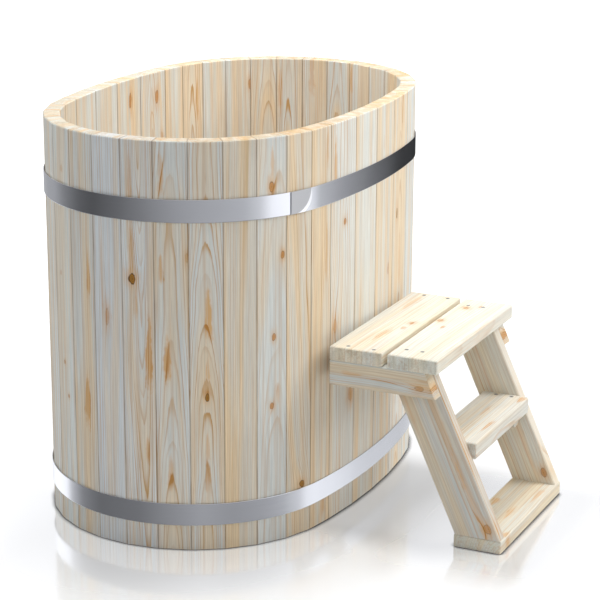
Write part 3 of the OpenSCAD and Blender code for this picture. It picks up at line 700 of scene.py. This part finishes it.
def rubber(name):
    """Dull black rubber with a little wear."""
    mat, g = new_material(name)
    p = g.add("ShaderNodeTexCoord").outputs["Object"]
    grain = g.noise(p, 2.0, scale=900.0, detail=3.0)
    wear = g.noise(p, 6.0, scale=60.0, detail=3.0)
    base = g.mix(g.ramp(wear, 0.4, 0.75), (0.020, 0.020, 0.022, 1.0), (0.050, 0.049, 0.048, 1.0))
    bump = g.add("ShaderNodeBump", {"Strength": 0.3, "Distance": 0.0002, "Height": grain})
    shader = g.add("ShaderNodeBsdfPrincipled", {"Base Color": base, "Normal": bump.outputs[0],
                                                "Roughness": g.ramp(wear, 0.3, 0.8, 0.55, 0.75)})
    g.add("ShaderNodeOutputMaterial", {"Surface": shader.outputs[0]})
    return mat


HOOP_STEEL = {name: steel(name + "_steel", (0.80, 0.81, 0.84, 1.0), 0.15, lap=place)
              for name, place in HOOPS.items()}
DRAIN_STEEL = steel("drain_steel", (0.70, 0.71, 0.73, 1.0), 0.24, streak=(260.0, 260.0, 40.0))
dress("drain_fitting", DRAIN_STEEL)
dress("drain_nut", DRAIN_STEEL)
dress("wood_screws",
      steel("screw_steel", (0.30, 0.29, 0.28, 1.0), 0.42, streak=(400.0, 400.0, 400.0)))
dress("drain_plug", rubber("plug_rubber"))
for name in HOOPS:
    dress(name, HOOP_STEEL[name])


def face_grid(bm, rows, closed, smooth):
    """Faces between rows of vertices, smooth in some columns. A closed grid closes both ways."""
    count, size = len(rows), len(rows[0])
    for a in range(count if closed else count - 1):
        b = (a + 1) % count
        for k in range(size if closed else size - 1):
            m = (k + 1) % size
            face = bm.faces.new((rows[a][k], rows[b][k], rows[b][m], rows[a][m]))
            face.smooth = k in smooth


def hoop_mesh(name, z0, flip_x, flip_y):
    """A hoop's band on a finely divided oval, with rounded edges and a straight outer end."""
    steps = 180  # of the band in each quarter
    ease, cut, flat = 0.5, 0.15, 0.8
    half = [(0.0, ease), (cut, cut), (ease, 0.0), (HOOP_T - ease, 0.0), (HOOP_T - cut, cut),
            (HOOP_T, ease), (HOOP_T, ease + flat)]
    profile = half + [(HOOP_T, HOOP_W / 2)] + [(t, HOOP_W - h) for t, h in reversed(half)]
    profile.append((0.0, HOOP_W / 2))
    bm = bmesh.new()

    def vertex(x, y, h):
        return bm.verts.new(((x - ORIGIN_X) / MM, y / MM, (z0 + h) / MM))

    rings = []
    for q in range(4):
        sx, sy = signs(q)
        for j in range(steps):
            s = QUARTER * (j / steps if q % 2 == 0 else 1 - j / steps)
            points = [(oval_point(s, HOOP_GAP + t), h) for t, h in profile]
            rings.append([vertex(sx * p.x, sy * p.y, h) for p, h in points])
    face_grid(bm, rings, True, range(len(profile)))
    # Straight outer end: a plate whose outer face leaves the band at a tangent, and whose inner
    # face follows the band, a little below its surface
    out_r = END_R + HOOP_GAP + HOOP_T
    face, sunk, start, bow = out_r + 0.02, 0.6, -1.5, 24
    lap_ease, lap_cut, lap_flat = 0.4, 0.25, 0.9
    radial, side = lap_frame()
    rows = []
    for j in range(bow + 1):
        y = start + (LAP_L - start) * j / bow
        under = (math.sqrt(out_r ** 2 - y ** 2) if j else out_r) - sunk
        edge = [(under, lap_ease), (face - lap_cut, lap_ease), (face, lap_ease + lap_cut),
                (face, lap_ease + lap_flat)]
        row = []
        for reach, h in edge + [(r, HOOP_W - h) for r, h in reversed(edge)]:
            p = Vector((0.0, END_C)) + radial * reach + side * y
            row.append(vertex(p.x * flip_x, p.y * flip_y, h))
        rows.append(row)
    face_grid(bm, rows, False, (2, 3, 4))
    for end in (rows[-1], rows[0]):
        for e in bm.faces.new(end).edges:
            e.smooth = False
    bmesh.ops.recalc_face_normals(bm, faces=bm.faces)
    mesh = bpy.data.meshes.new(name)
    bm.to_mesh(mesh)
    bm.free()
    return mesh


for name, place in HOOPS.items():
    mesh = hoop_mesh(name + "_band", *place)
    mesh.materials.append(HOOP_STEEL[name])
    band = bpy.data.objects.new(name + "_band", mesh)
    bpy.context.scene.collection.objects.link(band)
    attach(band, "tub")
    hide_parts(name)


# -----------------------------------------------------------------------------------------------
# Floor, light and camera, in the frame's metres
# -----------------------------------------------------------------------------------------------
def floor_material():
    """A pale floor that is white all round and keeps the object's shadow and mirror image, with a
    painted contact shadow, a painted shadow of the platform and painted light at the tub's left.
    """
    mat, g = new_material("studio_floor")
    path = g.add("ShaderNodeLightPath").outputs
    x, y, _ = g.split(g.add("ShaderNodeTexCoord").outputs["Object"])
    # Painted contact shadow: a thin dark line where something stands on the floor, darkening its
    # colour, glow and mirror image
    contact_shade = g.add("ShaderNodeAmbientOcclusion", {"Distance": 0.020}, samples=8).outputs["AO"]
    contact_shade = g.ramp(contact_shade, 0.47, 0.90, 0.10, 1.0)
    shown = g.add("ShaderNodeBsdfDiffuse", {"Color": g.grey(g.mul(contact_shade, 0.20))})
    # The floor between the ladder and the tub is darker: a painted shadow of the platform, where
    # the glow is less, over the shadow that the lamps cast there
    front_part = g.ramp(y, 0.34, 0.16)
    shade = g.mul(g.ramp(x, 0.66, 0.27), g.ramp(x, -0.30, -0.05))
    shade = g.mul(shade, g.mul(g.ramp(y, -0.40, -0.26), front_part))
    away = g.length(x, y)
    backdrop_glow_and_painted_shade = g.plus(g.mul_plus(shade, -0.44, 0.88), g.ramp(away, 0.8, 2.2, 0.0, 0.15))
    # Painted light: the floor glows more at the left, where the tub's shadow from the key falls
    backdrop_glow_and_painted_shade = g.plus(backdrop_glow_and_painted_shade, g.ramp(x, -0.42, -0.62, 0.0, 0.14))
    glow = g.add("ShaderNodeEmission", {"Color": WHITE, "Strength": g.mul(backdrop_glow_and_painted_shade, contact_shade)})
    # The polish shows most close to the tub and to the ladder's foot
    oval = g.length(g.mul_plus(x, MM / HALF_W, ORIGIN_X / HALF_W), g.mul(y, MM / HALF_L))
    foot = g.mul(g.ramp(g.math("ABSOLUTE", g.minus(x, 0.555)), 0.28, 0.12, 0.0, 0.52),
                 g.mul(g.ramp(y, -0.56, -0.28), front_part))
    polish = g.mul(g.ramp(oval, 1.0, 2.20, 0.56, 0.03), g.ramp(y, -0.20, -0.42, 0.30, 1.0))
    polish = g.minus(1.0, g.mul(g.minus(1.0, polish), g.minus(1.0, foot)))
    both = g.add("ShaderNodeAddShader", {0: shown.outputs[0], 1: glow.outputs[0]})
    pale = g.add("ShaderNodeBsdfDiffuse", {"Color": (0.80, 0.80, 0.80, 1.0)})
    seen = g.choose(path["Is Camera Ray"], pale.outputs[0], both.outputs[0])
    gloss = g.add("ShaderNodeBsdfGlossy", {"Color": WHITE, "Roughness": 0.11})
    mirror = g.mul(g.mul(path["Is Camera Ray"], contact_shade), polish)
    shiny = g.choose(mirror, seen, gloss.outputs[0])
    # The metal sees the studio's light through the floor, and not the floor itself
    clear = g.add("ShaderNodeBsdfTransparent")
    last = g.choose(path["Is Glossy Ray"], shiny, clear.outputs[0])
    g.add("ShaderNodeOutputMaterial", {"Surface": last})
    return mat


bpy.ops.mesh.primitive_plane_add(size=60.0, location=(0.0, 0.0, 0.0))
floor = bpy.context.active_object
floor.name = "studio_floor"
floor.data.materials.append(floor_material())

# Flags and soft boxes round the horizon that only the metal shows: (azimuth in degrees, grey)
HIGH_STRIP = [(-180, 0.24), (-160, 0.12), (-145, 0.09), (-120, 0.16), (-90, 0.31), (-50, 0.48),
              (-25, 0.58), (-13, 0.78), (-3, 1.25), (18, 1.35), (34, 1.00), (44, 0.60), (54, 0.36),
              (66, 0.17), (78, 0.045), (100, 0.035), (115, 0.26), (127, 0.50), (150, 0.42),
              (165, 0.40), (180, 0.24)]
LOW_STRIP = [(-180, 0.62), (-165, 0.26), (-145, 0.16), (-110, 0.20), (-60, 0.41), (-35, 0.34),
             (-8, 0.36), (8, 0.45), (22, 0.68), (32, 1.05), (45, 1.10), (62, 0.78), (80, 0.70),
             (100, 0.80), (130, 0.95), (150, 1.30), (172, 1.25), (180, 0.62)]


def world():
    """White for the camera, a soft fill for what is lit, and the strips for the metal."""
    w = bpy.data.worlds.new("studio")
    bpy.context.scene.world = w
    w.use_nodes = True
    w.node_tree.nodes.clear()
    g = Graph(w.node_tree)
    path = g.add("ShaderNodeLightPath").outputs
    x, y, z = g.split(g.add("ShaderNodeTexCoord").outputs["Generated"])
    turn = g.over(g.plus(g.math("ARCTAN2", y, x), math.pi), 2 * math.pi)

    def strip(name, stops):
        ramp = g.add("ShaderNodeValToRGB", {0: turn})
        ramp.label = name
        elements = ramp.color_ramp.elements
        while len(elements) > 1:
            elements.remove(elements[-1])
        for k, (azimuth, grey) in enumerate(stops):
            where = (azimuth + 180.0) / 360.0
            stop = elements.new(where) if k else elements[0]
            stop.position = where
            stop.color = (grey * 0.97, grey * 0.985, grey * 1.03, 1.0)
        return ramp.outputs[0]

    def tilt_ramp(value, low, high):
        return g.ramp(value, math.radians(low), math.radians(high))

    # The low strip is seen well above and below the horizon, and the high one close to it
    elevation = g.math("ARCSINE", z)
    level = tilt_ramp(g.math("ABSOLUTE", elevation), 19.5, 15.5)
    studio = g.mix(level, strip("low", LOW_STRIP), strip("high", HIGH_STRIP))
    # White above the horizon; the hoops' own mirror images in the floor show the flags again
    first = g.math("LESS_THAN", path["Ray Depth"], 1.5)
    above = g.math("MAXIMUM", g.mul(first, tilt_ramp(elevation, -3.0, 6.0)),
                   tilt_ramp(elevation, 38.0, 50.0))
    studio = g.mix(above, studio, WHITE)

    def background(colour, strength):
        return g.add("ShaderNodeBackground", {"Color": colour, "Strength": strength}).outputs[0]

    lit = g.choose(path["Is Glossy Ray"], background((0.93, 0.985, 1.06, 1.0), 0.355),
                   background(studio, 1.0))
    seen = g.math("MAXIMUM", path["Is Camera Ray"], path["Is Transmission Ray"])
    g.add("ShaderNodeOutputWorld", {"Surface": g.choose(seen, lit, background(WHITE, 1.0))})


world()


def area(name, where, aim, size, power, colour=(1.0, 1.0, 1.0), spread=180.0):
    """A soft box that the metal doesn't mirror."""
    light = bpy.data.lights.new(name, "AREA")
    light.shape = "RECTANGLE"
    light.size = light.size_y = size
    light.energy = power
    light.spread = math.radians(spread)
    light.color = colour
    obj = bpy.data.objects.new(name, light)
    obj.location = where
    obj.rotation_euler = (Vector(aim) - Vector(where)).to_track_quat("-Z", "Y").to_euler()
    obj.visible_glossy = False
    bpy.context.scene.collection.objects.link(obj)


area("key", (3.4, 1.9, 3.6), (0.1, 0.0, 0.4), 3.0, 158.0, (1.0, 0.99, 0.97))
area("top", (-0.05, 0.30, 5.0), (0.0, 0.0, 0.3), 0.9, 98.0)
area("front", (1.6, -3.8, 3.4), (-0.2, 0.0, 0.5), 2.5, 24.0)
area("left", (-4.0, 0.1, 1.8), (-0.3, 0.0, 0.5), 1.5, 40.0)
area("inside", (-0.30, -0.75, 2.5), (-0.20, 0.50, 0.85), 0.6, 1.35, spread=50.0)

# The camera as solved from the photograph: focal length in pixels, place and angles
FOCAL_PX, PHOTO_PX, SENSOR = 2096.58, 600.0, 36.0
CAMERA_AT = ((2374.0 - ORIGIN_X) / MM, -4.6629, 2.0014)
AZ, EL, ROLL = math.radians(25.20), math.radians(16.43), math.radians(0.24)
cam_data = bpy.data.cameras.new("camera")
cam_data.sensor_width = SENSOR
cam_data.lens = FOCAL_PX * SENSOR / PHOTO_PX
cam_data.clip_end = 100.0
cam = bpy.data.objects.new("camera", cam_data)
bpy.context.scene.collection.objects.link(cam)
back = Vector((math.sin(AZ) * math.cos(EL), -math.cos(AZ) * math.cos(EL), math.sin(EL)))
right = Vector((math.cos(AZ), math.sin(AZ), 0.0))
up = back.cross(right)
right, up = (math.cos(ROLL) * right + math.sin(ROLL) * up,
             -math.sin(ROLL) * right + math.cos(ROLL) * up)
cam.matrix_world = Matrix.Translation(CAMERA_AT) @ \
    Matrix((right, up, back)).transposed().to_4x4()
bpy.context.scene.camera = cam
bpy.context.scene.view_settings.view_transform = "Standard"
